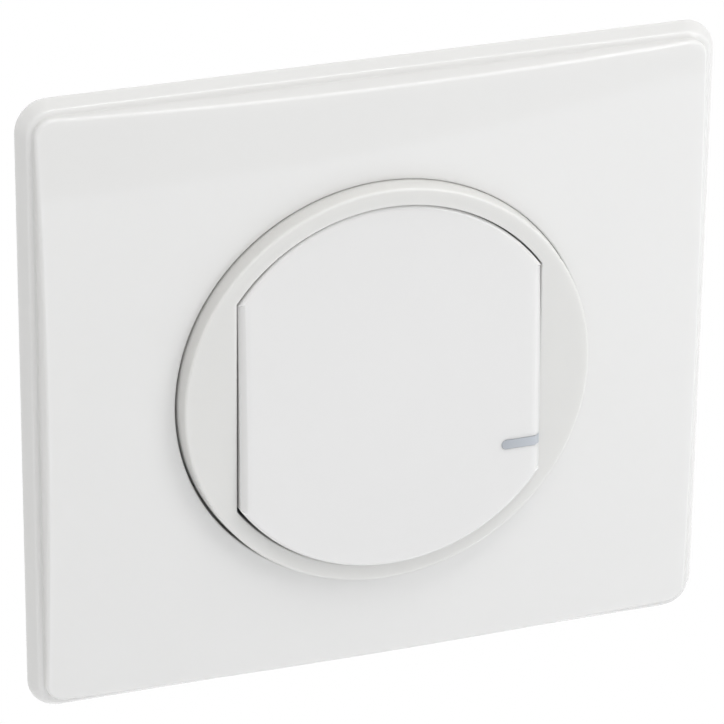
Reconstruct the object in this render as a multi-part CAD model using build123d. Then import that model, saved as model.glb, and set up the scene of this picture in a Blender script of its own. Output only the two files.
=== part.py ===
from build123d import *
import math
import os

# Flush-mounted connected light switch: cover plate, ring, rocker and the mechanism behind them.
# Every piece is drawn face up: x across, y up the wall, z out of the wall, in millimetres.
# stand() then turns it, so that +Z is up and the front of the switch looks towards -Y.
# The origin is on the axis of the cover ring, in the plane of the wall.

# Cover plate
plate_width = 90.0
plate_height = 82.0
plate_corner = 4.2
plate_wall = 1.7
rim_undercut = 0.7
rim_edge_level = 1.6
rim_edge_round = 0.3
shoulder_width = 1.05
shoulder_level = 3.2
shoulder_round = 0.6
shelf_width = 1.75
rim_height = 3.45
cove_round = 0.3
panel_lean = 11.0
panel_crown = 7.4
panel_dome_radius = 500.0
panel_round = 0.5
plate_seat_left = 0.08
plate_seat_down = 0.13
opening_radius = 26.9
opening_round = 0.7
collar_wall = 1.2
collar_depth = 3.0
plate_rib = 1.0
plate_rib_offset = 12.0
pry_notch_width = 6.0
pry_notch_height = 0.8

# Cover ring
ring_gap = 0.2
ring_height = 9.0
ring_draft = 0.25
ring_draft_height = 2.4
ring_band = 2.2
ring_wall = 1.3
ring_round = 0.35
ring_lip_round = 0.2
ring_leg = 1.2
ring_leg_width = 3.0
ring_hook = 0.5
ring_hook_height = 0.8

# Rocker
rocker_width = 39.05
rocker_gap = 0.4
rocker_proud = 0.95
rocker_crown_radius = 650.0
rocker_wall = 1.5
rocker_skirt_drop = 4.4
rocker_round = 0.8
rocker_corner_round = 0.5
rocker_rib = 1.2
rocker_rib_depth = 1.6
rocker_rib_offset = 9.0
pivot_drop = 3.3
trunnion_radius = 0.8
trunnion_length = 1.1
pusher_radius = 1.5
key_gap = 0.1
rocker_rest_tilt = 2.2
rocker_seat = 0.25

# Light guide: lens in the rocker, pipe in the deck, lamp on the board
lens_length = 5.27
lens_height = 1.3
lens_drop = 9.71
lens_edge_depth = 3.0
lens_foot = 0.8
lens_leg_length = 1.6
pipe_inset = 3.4
pipe_radius = 1.2
pipe_collar = 0.7
pipe_collar_height = 0.6
pipe_height = 3.0
led_width = 3.2
led_height = 2.8
led_thickness = 1.9
led_gap = 0.15

# Support frame and its fixings
frame_size = 71.0
frame_corner = 8.0
frame_thickness = 1.2
box_screw_spacing = 60.0
box_slot_length = 6.0
box_slot_radius = 1.75
clip_tab_height = 2.4
clip_width = 14.0
clip_bead = 0.5
clip_gap = 0.15
clip_leg = 1.2
bead_radius = 0.8
bead_rise = 0.5
bead_length = 12.0
bead_offset = 17.0
bead_inset = 3.2
groove_radius = 0.5

# Mechanism deck
deck_corner = 4.0
deck_thickness = 1.2
deck_post_length = 4.2
deck_post_radius = 1.5
deck_post_x = 9.0
deck_post_y = 11.0
deck_tab = 1.2
deck_tab_depth = 4.0
key_collar_wall = 0.8
key_collar_height = 0.6
key_edge_gap = 0.25
latch_bead = 0.5
latch_length = 10.0
latch_drop = 2.4
screw_radius = 1.0
screw_head_radius = 1.8
screw_head_height = 1.0
screw_inset = 2.7
screw_edge = 0.85
screw_tip_gap = 0.2
slot_width = 0.5

# Mechanism housing
housing_size = 44.6
housing_corner = 2.5
housing_wall = 1.5
housing_floor = 1.8
housing_chamfer = 2.5
corner_post = 3.0
side_rib = 1.2
side_rib_width = 4.0
wire_hole_radius = 1.9
wire_funnel = 0.7
pocket_margin = 1.0
pocket_depth = 0.8
pocket_corner = 1.0
outer_rib = 0.6
outer_rib_width = 1.4
outer_rib_offset = 12.0
outer_rib_drop = 2.5

# Boards and the space round them
board_thickness = 1.6
board_margin = 0.5
board_spacing = 7.8
component_room = 11.2

# Rubber key domes
dome_radius = 3.2
dome_top_radius = 2.2
dome_flange = 1.0
dome_flange_height = 0.8
dome_skin = 0.9
dome_plug = 1.8
dome_proud = 0.9

# Reset button and its switch
reset_x = -14.0
reset_y = -12.0
reset_radius = 1.25
reset_collar = 0.65
reset_collar_height = 0.8
reset_tip_radius = 0.7
reset_tip_length = 0.8
reset_travel = 0.3
reset_switch_size = 3.6
reset_switch_height = 1.5
reset_stop_gap = 0.1

# Radio module
radio_width = 17.0
radio_height = 12.0
radio_thickness = 0.8
radio_edge_gap = 1.45
radio_y = 0.0
shield_width = 11.0
shield_height = 10.0
shield_thickness = 1.7
shield_round = 0.4

# Pin header between the boards
header_x = 9.0
header_y = 0.0
header_pitch = 2.54
header_pins = 6
header_base_width = 2.5
header_base_height = 2.5
pin_size = 0.64
pin_hole_radius = 0.5
pin_proud = 0.8

# Power parts
relay_width = 20.0
relay_height = 10.4
relay_depth = 10.2
relay_x = -6.0
relay_round = 0.6
filter_width = 11.0
filter_height = 5.5
filter_depth = 9.5
filter_x = 11.5
filter_round = 0.5
can_radius = 4.0
can_length = 10.0
can_groove = 0.35
can_x = -12.0
choke_radius = 3.7
choke_length = 8.5
choke_flange = 1.2
choke_waist = 0.9
choke_x = 1.0
varistor_radius = 3.6
varistor_thickness = 3.4
varistor_x = 15.0
lead_radius = 0.4
lead_length = 1.0
lead_spread = 2.5
rectifier_width = 6.4
rectifier_height = 4.8
rectifier_depth = 2.5
rectifier_x = -10.0
rectifier_y = -4.0
fuse_radius = 1.5
fuse_length = 7.0
fuse_x = -8.0
fuse_y = 11.0

# Wire terminals
terminal_count = 3
terminal_pitch = 11.0
terminal_width = 8.0
terminal_height = 8.5
terminal_wire_inset = 5.0
terminal_screw_radius = 1.4
terminal_head_radius = 2.0
terminal_head_height = 1.4
terminal_head_recess = 0.2
terminal_tip_reach = 0.3

# Clearances
press_clearance = 0.04
running_clearance = 0.05
loose_clearance = 0.15
key_clearance = 0.3
least_round = 0.2
slight = 0.01

# Levels above the wall, worked out from the stack
frame_front = frame_thickness
deck_front = frame_front + deck_thickness
ring_base = deck_front
rocker_crown = ring_height + rocker_proud
rocker_skirt = ring_height - rocker_skirt_drop
pivot_level = ring_height - pivot_drop
dome_top = deck_front + dome_proud
pusher_end = dome_top + key_gap
control_top = frame_front - deck_post_length
control_bottom = control_top - board_thickness
power_top = control_bottom - board_spacing
power_bottom = power_top - board_thickness
housing_inside = power_bottom - component_room
housing_back = housing_inside - housing_floor

# Radii and half widths that several pieces share
ring_radius = opening_radius - ring_gap
ring_face_radius = ring_radius - ring_draft
well_radius = ring_face_radius - ring_band
rocker_radius = well_radius - rocker_gap
well_width = rocker_width + 2 * rocker_gap
window_size = housing_size + 2 * key_clearance
cavity_size = housing_size - 2 * housing_wall
board_size = cavity_size - 2 * board_margin
screw_place = window_size / 2 + screw_radius + screw_edge
deck_size = 2 * max(ring_radius, screw_place + screw_inset)
leg_radius = (well_radius + ring_radius) / 2
pipe_x = rocker_width / 2 - pipe_inset
key_hole_radius = dome_radius + key_clearance
tab_face = cavity_size / 2 - loose_clearance
tab_back = tab_face - deck_tab
deck_tab_width = 2 * (lens_drop - led_height / 2 - key_clearance)
key_offset = tab_back - key_edge_gap - dome_flange - dome_radius
radio_x = radio_edge_gap + radio_width / 2 - tab_back
terminal_y = -cavity_size / 2 + loose_clearance + terminal_height / 2
wire_y = -cavity_size / 2 + loose_clearance + terminal_wire_inset
terminal_depth = component_room - loose_clearance
terminal_level = power_bottom - terminal_depth / 2
terminal_top = terminal_y + terminal_height / 2
row_top = cavity_size / 2 - corner_post - key_clearance
relay_y = row_top - relay_height / 2
filter_y = row_top - filter_height / 2
middle_row = (relay_y - relay_height / 2 + terminal_top) / 2
pusher_shift = key_offset * math.sin(math.radians(rocker_rest_tilt))
terminal_places = [(n - (terminal_count - 1) / 2) * terminal_pitch for n in range(terminal_count)]


# Shapes that several pieces use

def block(width, height, depth, base, x=0.0, y=0.0, corner=0.0):
    """Bar seen face on: width across, height up, standing on the level base."""
    outline = RectangleRounded(width, height, corner) if corner else Rectangle(width, height)
    return Pos(x, y, base) * extrude(outline, depth)


def post(radius, depth, base, x=0.0, y=0.0):
    """Round bar along z, standing on the level base."""
    return Pos(x, y, base) * extrude(Circle(radius), depth)


def bead(radius, length, x, y, level, along=Axis.Y):
    """Round bar across the face, centred on a point, along the x or the y axis."""
    turn = Rot(90, 0, 0) if along == Axis.Y else Rot(0, 90, 0)
    return Pos(x, y, level) * turn * Cylinder(radius, length)


def ridge(radius, length, level):
    """Bead along y with round ends, whose centres lie a length apart."""
    bar = bead(radius, length, 0, 0, level)
    for end in (-length / 2, length / 2):
        bar += Pos(0, end, level) * Sphere(radius)
    return bar


def domed(solid, crown):
    """The part of a solid under the plate's large dome, whose top is at the level crown."""
    return solid & Pos(0, 0, crown - panel_dome_radius) * Rot(90, 0, 0) * Sphere(panel_dome_radius)


def crowned(solid, inset):
    """The part of a solid under the rocker's crown, or under a surface inset from it."""
    centre = rocker_crown - rocker_crown_radius
    return solid & Pos(0, 0, centre) * Rot(0, 90, 0) * Cylinder(rocker_crown_radius - inset, plate_width)


def barrel(width, radius, corner=0.0):
    """Outline with two upright flats and two arcs about the centre."""
    outline = Circle(radius) & Rectangle(width, 2 * radius)
    return fillet(outline.vertices(), corner) if corner else outline


def four_corners(x, y):
    """The four places at plus and minus x and y."""
    return [(i * x, j * y) for i in (-1, 1) for j in (-1, 1)]


def at_rest(piece):
    """The key's pieces as they rest: upper end tilted in about the pivot, seated to the right of its play."""
    tilt = Pos(0, 0, pivot_level) * Rot(-rocker_rest_tilt, 0, 0) * Pos(0, 0, -pivot_level)
    return Pos(rocker_seat, 0, 0) * tilt * piece


def stand(piece):
    """Turn a piece that was drawn face up, so that it stands against the wall."""
    return Rot(90, 0, 0) * piece


# Front pieces

def plate_outline(inset, level):
    """The plate's outline, inset, at a level."""
    corner = max(plate_corner - inset, least_round)
    return Pos(0, 0, level) * RectangleRounded(plate_width - 2 * inset, plate_height - 2 * inset, corner)


def cover_plate():
    """Tray with a stepped rim, a domed panel, a collared round opening, back ribs and two clip legs.

    Its sides run through the outline at five levels: in at the wall, out to the edge, in to a shoulder, over a
    sloping shelf and up the panel's leaning side, which the dome cuts off. It hangs low and left in its play.
    """
    loft_top = panel_crown + plate_wall
    panel_inset = shelf_width + (loft_top - rim_height) * math.tan(math.radians(panel_lean))
    tray = loft([
        plate_outline(rim_undercut, 0),
        plate_outline(0, rim_edge_level),
        plate_outline(shoulder_width, shoulder_level),
        plate_outline(shelf_width, rim_height),
        plate_outline(panel_inset, loft_top)], ruled=True)
    tray = domed(tray, panel_crown)
    tray = fillet(tray.faces().sort_by(Axis.Z)[-1].edges(), panel_round)
    rim_rounds = {rim_edge_level: rim_edge_round, shoulder_level: shoulder_round, rim_height: cove_round}
    for level, radius in rim_rounds.items():
        tray = fillet(tray.edges().filter_by_position(Axis.Z, level - slight, level + slight), radius)

    panel_height = plate_height - 2 * shelf_width
    tray -= extrude(plate_outline(plate_wall, 0), rim_height - plate_wall)
    tray -= domed(extrude(plate_outline(shelf_width + plate_wall, 0), panel_crown), panel_crown - plate_wall)

    collar_foot = panel_crown - collar_depth
    collar = post(opening_radius + collar_wall, collar_depth, collar_foot)
    leg_x = frame_size / 2 + clip_bead + clip_gap + clip_leg / 2
    leg_bead = clip_bead_level() - 2 * clip_bead - clip_gap
    leg_foot = leg_bead - clip_bead - clip_gap
    for side in (-1, 1):
        collar += block(clip_leg, clip_width, panel_crown - leg_foot, leg_foot, side * leg_x)
        collar += bead(clip_bead, clip_width, side * (leg_x - clip_leg / 2), 0, leg_bead)
        collar += block(plate_rib, panel_height - plate_wall, collar_depth, collar_foot,
                        side * plate_rib_offset)
    tray += domed(collar, panel_crown - plate_wall / 2)
    tray -= post(opening_radius, 2 * panel_crown, 0)
    tray -= block(pry_notch_width, 4 * plate_wall, pry_notch_height, 0, 0, -plate_height / 2)
    lip = tray.edges().filter_by(GeomType.CIRCLE).sort_by(Axis.Z)[-1]
    return Pos(-plate_seat_left, -plate_seat_down, 0) * fillet(lip, opening_round)


def clip_bead_level():
    """Level of the beads on the frame's clip tabs."""
    return frame_front + clip_tab_height - clip_bead


def cover_ring():
    """Round bezel with a barrel-shaped well, two bearing bores and four snap legs."""
    draft_start = ring_height - ring_draft_height
    outline = make_face(Polyline(
        (0, ring_base), (ring_radius, ring_base), (ring_radius, draft_start),
        (ring_face_radius, ring_height), (0, ring_height), close=True))
    ring = revolve(Plane.XZ * outline, Axis.Z)
    ring = fillet(ring.faces().sort_by(Axis.Z)[-1].edges(), ring_round)
    ring -= extrude(barrel(well_width, well_radius, rocker_corner_round), 2 * ring_height)
    ring = fillet(ring.faces().sort_by(Axis.Z)[-1].inner_wires()[0].edges(), ring_lip_round)

    hollow = Circle(ring_face_radius - ring_wall) - Rectangle(well_width + 2 * ring_wall, 4 * ring_radius)
    ring -= Pos(0, 0, ring_base) * extrude(hollow, ring_height - ring_wall - ring_base)
    ring -= bead(trunnion_radius + running_clearance, well_width + 2 * ring_wall, 0, 0, pivot_level, Axis.X)

    hook_top = frame_front - loose_clearance
    hook_foot = hook_top - ring_hook_height
    leg = block(ring_leg, ring_leg_width, ring_base - hook_foot, hook_foot, leg_radius)
    leg += block(ring_leg + ring_hook, ring_leg_width, ring_hook_height, hook_foot,
                 leg_radius + ring_hook / 2)
    for quarter in range(4):
        ring += Rot(0, 0, 45 + 90 * quarter) * leg
    return ring


def rocker_shell():
    """The rocker's outer form, filled: a barrel outline under the crown, with rounded edges."""
    outline = barrel(rocker_width, rocker_radius, rocker_corner_round)
    shell = crowned(Pos(0, 0, rocker_skirt) * extrude(outline, 2 * rocker_crown), 0)
    return fillet(shell.faces().sort_by(Axis.Z)[-1].edges(), rocker_round)


def lens_slot(grow):
    """Slot that the lens fills: round at its inner end and open at the rocker's right flat."""
    half = lens_height / 2 + grow
    start = rocker_width / 2 - lens_length + lens_height / 2
    reach = lens_length
    foot = rocker_crown - lens_edge_depth - grow
    slot = post(half, lens_edge_depth + rocker_crown, foot, start, -lens_drop)
    return slot + block(reach, 2 * half, lens_edge_depth + rocker_crown, foot, start + reach / 2, -lens_drop)


def rocker_hollow():
    """Space inside the rocker, one wall in from its outer form."""
    outline = barrel(rocker_width - 2 * rocker_wall, rocker_radius - rocker_wall)
    return crowned(extrude(outline, 2 * rocker_crown), rocker_wall)


def rocker():
    """Hollow key with two pushers, two ribs, two trunnions and the slot for its lens."""
    key = rocker_shell() - rocker_hollow()
    rib_level = rocker_crown - rocker_wall - rocker_rib_depth
    inner = None
    for side in (-1, 1):
        pusher = post(pusher_radius, rocker_crown, pusher_end + side * pusher_shift, 0, side * key_offset)
        rib = block(rocker_rib, 2 * rocker_radius - 2 * rocker_wall, rocker_crown, rib_level,
                    side * rocker_rib_offset)
        inner = pusher + rib if inner is None else inner + pusher + rib
    key += crowned(inner, rocker_wall / 2) & post(rocker_radius - rocker_wall / 2, 2 * rocker_crown, 0)
    reach = rocker_gap + trunnion_length
    for side in (-1, 1):
        key += bead(trunnion_radius, reach + rocker_wall / 2,
                    side * (rocker_width / 2 + reach / 2 - rocker_wall / 4), 0, pivot_level, Axis.X)
    return at_rest(key - lens_slot(0))


def light_guide_lens():
    """Clear bar, flush with the rocker's face, with a foot and a leg behind it."""
    bar = rocker_shell() & lens_slot(-press_clearance)
    foot_length = lens_length - rocker_wall
    foot_x = rocker_width / 2 - rocker_wall - loose_clearance - foot_length / 2
    foot_level = rocker_crown - rocker_wall - lens_foot
    leg_end = foot_level - lens_leg_length
    foot = block(foot_length, lens_height + 2 * lens_foot, rocker_crown, foot_level, foot_x, -lens_drop)
    leg = post(pipe_radius, rocker_crown, leg_end, pipe_x, -lens_drop)
    return at_rest(bar + crowned(foot + leg, rocker_wall + press_clearance))


# Mounting and mechanism casing

def support_frame():
    """Pressed frame with a square window, four screw slots, stiffening beads and two upturned clip tabs."""
    outline = RectangleRounded(frame_size, frame_size, frame_corner)
    outline -= RectangleRounded(window_size, window_size, housing_corner)
    for turn in (0, 90, 180, 270):
        slot = SlotOverall(box_slot_length, 2 * box_slot_radius)
        outline -= Rot(0, 0, turn) * Pos(box_screw_spacing / 2, 0) * slot
    for x, y in four_corners(screw_place, screw_place):
        outline -= Pos(x, y) * Circle(screw_radius + running_clearance)
    frame = extrude(outline, frame_thickness)
    for side in (-1, 1):
        edge = side * frame_size / 2
        frame += block(frame_thickness, clip_width, clip_tab_height, frame_front,
                       edge - side * frame_thickness / 2)
        frame += bead(clip_bead, clip_width, edge, 0, clip_bead_level())
    bead_place = frame_size / 2 - bead_inset
    bead_level = frame_front + bead_rise - bead_radius
    for turn in (0, 90, 180, 270):
        for side in (-1, 1):
            place = Rot(0, 0, turn) * Pos(bead_place, side * bead_offset)
            frame += place * ridge(bead_radius, bead_length, bead_level)
            frame -= place * ridge(groove_radius, bead_length, 0)
    return frame


def hook_openings():
    """Outlines of the four openings that the ring's hooks pass through."""
    opening = Rectangle(ring_leg + ring_hook + 2 * loose_clearance, ring_leg_width + 2 * loose_clearance)
    place = Pos(leg_radius + ring_hook / 2, 0)
    return [Rot(0, 0, 45 + 90 * quarter) * place * opening for quarter in range(4)]


def mechanism_deck():
    """Front cover of the mechanism, with key windows, ring slots, board posts and latch tabs."""
    outline = RectangleRounded(deck_size, deck_size, deck_corner)
    for side in (-1, 1):
        outline -= Pos(0, side * key_offset) * Circle(key_hole_radius)
    for x, y in four_corners(screw_place, screw_place):
        outline -= Pos(x, y) * Circle(screw_radius + running_clearance)
    outline -= Pos(pipe_x, -lens_drop) * Circle(pipe_radius + running_clearance)
    outline -= Pos(reset_x, reset_y) * Circle(reset_radius + running_clearance)
    for opening in hook_openings():
        outline -= opening
    deck = Pos(0, 0, frame_front) * extrude(outline, deck_thickness)
    key_collar = Circle(key_hole_radius + key_collar_wall) - Circle(key_hole_radius)
    for side in (-1, 1):
        deck += Pos(0, side * key_offset, deck_front) * extrude(key_collar, key_collar_height)
    for x, y in four_corners(deck_post_x, deck_post_y):
        deck += post(deck_post_radius, deck_post_length, control_top, x, y)
    tab = block(deck_tab, deck_tab_width, deck_tab_depth, frame_front - deck_tab_depth,
                tab_face - deck_tab / 2)
    for quarter in range(4):
        deck += Rot(0, 0, 90 * quarter) * tab
    for side in (-1, 1):
        deck += bead(latch_bead, latch_length, side * tab_face, 0, frame_front - latch_drop)
    return deck


def deck_screws():
    """Four slotted pan-head screws that hold the deck to the frame."""
    length = deck_front - screw_tip_gap
    screws = []
    for x, y in four_corners(screw_place, screw_place):
        screw = post(screw_radius, length, screw_tip_gap, x, y)
        head = post(screw_head_radius, screw_head_height, deck_front, x, y)
        head = fillet(head.edges().sort_by(Axis.Z)[-1], screw_head_height / 2)
        head -= block(2 * screw_head_radius, slot_width, screw_head_height / 2,
                      deck_front + screw_head_height / 2, x, y)
        screws.append(screw + head)
    return Compound(screws)


def mechanism_housing():
    """Rear box with outer ribs, recessed wire funnels, screw accesses, latch windows and board seats."""
    depth = frame_front - housing_back
    box = block(housing_size, housing_size, depth, housing_back, corner=housing_corner)
    box = chamfer(box.faces().sort_by(Axis.Z)[0].edges(), housing_chamfer)
    box -= block(cavity_size, cavity_size, depth, housing_inside,
                 corner=max(housing_corner - housing_wall, least_round))
    for x, y in four_corners((cavity_size - corner_post) / 2, (cavity_size - corner_post) / 2):
        box += block(corner_post, corner_post, power_bottom - housing_inside, housing_inside, x, y)
    for side in (-1, 1):
        box += block(side_rib, side_rib_width, control_bottom - housing_inside, housing_inside,
                     side * (cavity_size - side_rib) / 2)
        window = latch_bead + loose_clearance
        box -= block(2 * housing_wall, latch_length + 2 * loose_clearance, 2 * window,
                     frame_front - latch_drop - window, side * (cavity_size + housing_wall) / 2)
    rib_foot = housing_back + housing_chamfer
    rib_length = -outer_rib_drop - rib_foot
    for turn in (0, 90, 180):
        for side in (-1, 1):
            box += Rot(0, 0, turn) * block(2 * outer_rib, outer_rib_width, rib_length, rib_foot,
                                           housing_size / 2, side * outer_rib_offset)
    hook_floor = frame_front - ring_hook_height - 2 * loose_clearance
    for opening in hook_openings():
        box -= Pos(0, 0, hook_floor) * extrude(opening, ring_hook_height + 2 * loose_clearance)
    pocket_size = 2 * (wire_hole_radius + wire_funnel + pocket_margin)
    pocket_floor = housing_back + pocket_depth
    for x in terminal_places:
        box -= block(pocket_size, pocket_size, pocket_depth, housing_back, x, wire_y, pocket_corner)
        box -= post(wire_hole_radius, housing_floor, housing_back, x, wire_y)
        box -= Pos(x, wire_y, pocket_floor + wire_funnel / 2) * Cone(
            wire_hole_radius + wire_funnel, wire_hole_radius, wire_funnel)
        box -= bead(terminal_head_radius + loose_clearance, 4 * housing_wall, x, -cavity_size / 2,
                    terminal_level)
    return box


# Boards

def control_board():
    """Front board, with holes for the header's pins."""
    board = block(board_size, board_size, board_thickness, control_bottom, corner=least_round)
    for y in header_places():
        board -= post(pin_hole_radius, board_thickness, control_bottom, header_x, y)
    return board


def power_board():
    """Rear board, notched round the side ribs, with holes for the header's pins."""
    board = block(board_size, board_size, board_thickness, power_bottom, corner=least_round)
    for side in (-1, 1):
        board -= block(2 * (side_rib + board_margin), side_rib_width + 2 * board_margin, board_thickness,
                       power_bottom, side * cavity_size / 2)
    for y in header_places():
        board -= post(pin_hole_radius, board_thickness, power_bottom, header_x, y)
    return board


def header_places():
    """Heights of the header's pins, evenly spaced about its centre."""
    return [header_y + (n - (header_pins - 1) / 2) * header_pitch for n in range(header_pins)]


def board_header():
    """Row of square pins in a moulded base, through both boards."""
    foot = power_bottom - pin_proud
    header = block(header_base_width, header_pins * header_pitch, header_base_height, power_top,
                   header_x, header_y)
    for y in header_places():
        header += block(pin_size, pin_size, control_top + pin_proud - foot, foot, header_x, y)
    return header


# Pieces on the control board

def key_dome(side):
    """Hollow rubber key on the board, which a pusher of the rocker presses."""
    flange_radius = dome_radius + dome_flange
    flange_top = control_top + dome_flange_height
    outline = make_face(Polyline(
        (0, control_top), (flange_radius, control_top), (flange_radius, flange_top),
        (dome_radius, flange_top), (dome_top_radius, dome_top), (0, dome_top), close=True))
    inside = make_face(Polyline(
        (0, control_top), (dome_radius - dome_skin, control_top), (dome_radius - dome_skin, flange_top),
        (dome_top_radius - dome_skin, dome_top - dome_plug), (0, dome_top - dome_plug), close=True))
    dome = revolve(Plane.XZ * (outline - inside), Axis.Z)
    return Pos(0, side * key_offset, 0) * dome


def status_led():
    """Lamp body with a round lens, on the board behind the light pipe."""
    lamp = block(led_width, led_height, led_thickness, control_top, pipe_x, -lens_drop)
    well = post(led_height / 2 - least_round, led_gap, control_top + led_thickness - led_gap,
                pipe_x, -lens_drop)
    return lamp - well


def light_pipe():
    """Clear rod through the deck, held by its collar on the deck's front."""
    foot = control_top + led_thickness + led_gap
    pipe = post(pipe_radius, deck_front + pipe_height - foot, foot, pipe_x, -lens_drop)
    return pipe + post(pipe_radius + pipe_collar, pipe_collar_height, deck_front, pipe_x, -lens_drop)


def reset_button():
    """Flush pin in the deck, with a collar behind it and a tip in its switch."""
    switch_top = control_top + reset_switch_height
    shoulder = switch_top + reset_travel + reset_stop_gap
    collar_top = frame_front - running_clearance
    button = post(reset_radius, deck_front - collar_top, collar_top, reset_x, reset_y)
    button += post(reset_radius + reset_collar, reset_collar_height, collar_top - reset_collar_height,
                   reset_x, reset_y)
    button += post(reset_radius, collar_top - shoulder, shoulder, reset_x, reset_y)
    return button + post(reset_tip_radius, reset_tip_length, shoulder - reset_tip_length, reset_x, reset_y)


def reset_switch():
    """Small board switch with a well that the reset button's tip slides in."""
    switch = block(reset_switch_size, reset_switch_size, reset_switch_height, control_top, reset_x, reset_y)
    well_depth = reset_tip_length
    return switch - post(reset_tip_radius + running_clearance, well_depth,
                         control_top + reset_switch_height - well_depth, reset_x, reset_y)


def radio_module():
    """Small board that carries the radio and its aerial."""
    return block(radio_width, radio_height, radio_thickness, control_top, radio_x, radio_y)


def radio_shield():
    """Pressed metal can over the radio, set to one end so that the aerial stays clear."""
    x = radio_x + (radio_width - shield_width) / 2 - (radio_height - shield_height) / 2
    can = block(shield_width, shield_height, shield_thickness, control_top + radio_thickness, x, radio_y)
    return fillet(can.faces().sort_by(Axis.Z)[-1].edges(), shield_round)


# Pieces on the power board

def load_relay():
    """Sealed relay that switches the lamp."""
    relay = block(relay_width, relay_height, relay_depth, power_bottom - relay_depth, relay_x, relay_y)
    return fillet(relay.faces().sort_by(Axis.Z)[0].edges(), relay_round)


def filter_capacitor():
    """Boxed film capacitor across the supply."""
    box = block(filter_width, filter_height, filter_depth, power_bottom - filter_depth, filter_x, filter_y)
    return fillet(box.faces().sort_by(Axis.Z)[0].edges(), filter_round)


def smoothing_capacitor():
    """Round can capacitor with a crimped groove near the board."""
    can = post(can_radius, can_length, power_bottom - can_length, can_x, middle_row)
    groove_level = power_bottom - can_radius / 2
    return can - Pos(can_x, middle_row, groove_level) * Torus(can_radius, can_groove)


def choke_coil():
    """Wound drum core: two flanges and the winding between them."""
    foot = power_bottom - choke_length
    coil = post(choke_radius - choke_waist, choke_length, foot, choke_x, middle_row)
    coil += post(choke_radius, choke_flange, foot, choke_x, middle_row)
    return coil + post(choke_radius, choke_flange, power_bottom - choke_flange, choke_x, middle_row)


def varistor():
    """Coated disc that stands on two leads."""
    level = power_bottom - lead_length - varistor_radius
    disc = bead(varistor_radius, varistor_thickness, varistor_x, middle_row, level, Axis.X)
    for side in (-1, 1):
        disc += post(lead_radius, power_bottom - level, level, varistor_x, middle_row + side * lead_spread)
    return disc


def bridge_rectifier():
    """Moulded rectifier on the front of the power board."""
    return block(rectifier_width, rectifier_height, rectifier_depth, power_top, rectifier_x, rectifier_y)


def fuse_resistor():
    """Axial resistor on two bent leads, on the front of the power board."""
    level = power_top + lead_length + fuse_radius
    fuse = bead(fuse_radius, fuse_length, fuse_x, fuse_y, level, Axis.X)
    span = fuse_length + 2 * lead_length
    reach = span / 2 - lead_radius
    fuse += bead(lead_radius, span, fuse_x, fuse_y, level, Axis.X)
    for side in (-1, 1):
        fuse += post(lead_radius, level - power_top, power_top, fuse_x + side * reach, fuse_y)
    return fuse


# Wire terminals

def terminal_blocks():
    """Brass blocks, each with a wire bore from the back and a screw bore from below."""
    blocks = []
    for x in terminal_places:
        foot = power_bottom - terminal_depth
        face = terminal_y - terminal_height / 2
        cage = block(terminal_width, terminal_height, terminal_depth, foot, x, terminal_y)
        cage -= post(wire_hole_radius, terminal_depth, foot, x, wire_y)
        cage -= bead(terminal_screw_radius + running_clearance, 2 * (wire_y - face), x, face, terminal_level)
        recess = terminal_head_height + terminal_head_recess
        cage -= bead(terminal_head_radius + loose_clearance, 2 * recess, x, face, terminal_level)
        blocks.append(cage)
    return Compound(blocks)


def terminal_screws():
    """Slotted screws that press the wires, backed off to let a wire in."""
    face = terminal_y - terminal_height / 2
    head_face = face + terminal_head_recess
    head_seat = head_face + terminal_head_height
    tip = wire_y - wire_hole_radius + terminal_tip_reach
    screws = []
    for x in terminal_places:
        head = bead(terminal_head_radius, terminal_head_height, x, (head_face + head_seat) / 2,
                    terminal_level)
        head -= block(2 * terminal_head_radius, terminal_head_height, slot_width,
                      terminal_level - slot_width / 2, x, head_face)
        shank = bead(terminal_screw_radius, tip - head_seat, x, (tip + head_seat) / 2, terminal_level)
        screws.append(head + shank)
    return Compound(screws)


PIECES = {
    "cover_plate": cover_plate,
    "cover_ring": cover_ring,
    "rocker": rocker,
    "light_guide_lens": light_guide_lens,
    "support_frame": support_frame,
    "mechanism_deck": mechanism_deck,
    "deck_screws": deck_screws,
    "mechanism_housing": mechanism_housing,
    "control_board": control_board,
    "power_board": power_board,
    "board_header": board_header,
    "upper_key_dome": lambda: key_dome(1),
    "lower_key_dome": lambda: key_dome(-1),
    "status_led": status_led,
    "light_pipe": light_pipe,
    "reset_button": reset_button,
    "reset_switch": reset_switch,
    "radio_module": radio_module,
    "radio_shield": radio_shield,
    "load_relay": load_relay,
    "filter_capacitor": filter_capacitor,
    "smoothing_capacitor": smoothing_capacitor,
    "choke_coil": choke_coil,
    "varistor": varistor,
    "bridge_rectifier": bridge_rectifier,
    "fuse_resistor": fuse_resistor,
    "terminal_blocks": terminal_blocks,
    "terminal_screws": terminal_screws,
}

os.makedirs("parts", exist_ok=True)
for name, make in PIECES.items():
    export_step(stand(make()), f"parts/{name}.step")
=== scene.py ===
import math

import bpy
import numpy as np
from bpy.props import FloatProperty, FloatVectorProperty, PointerProperty
from mathutils import Matrix, Vector


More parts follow.
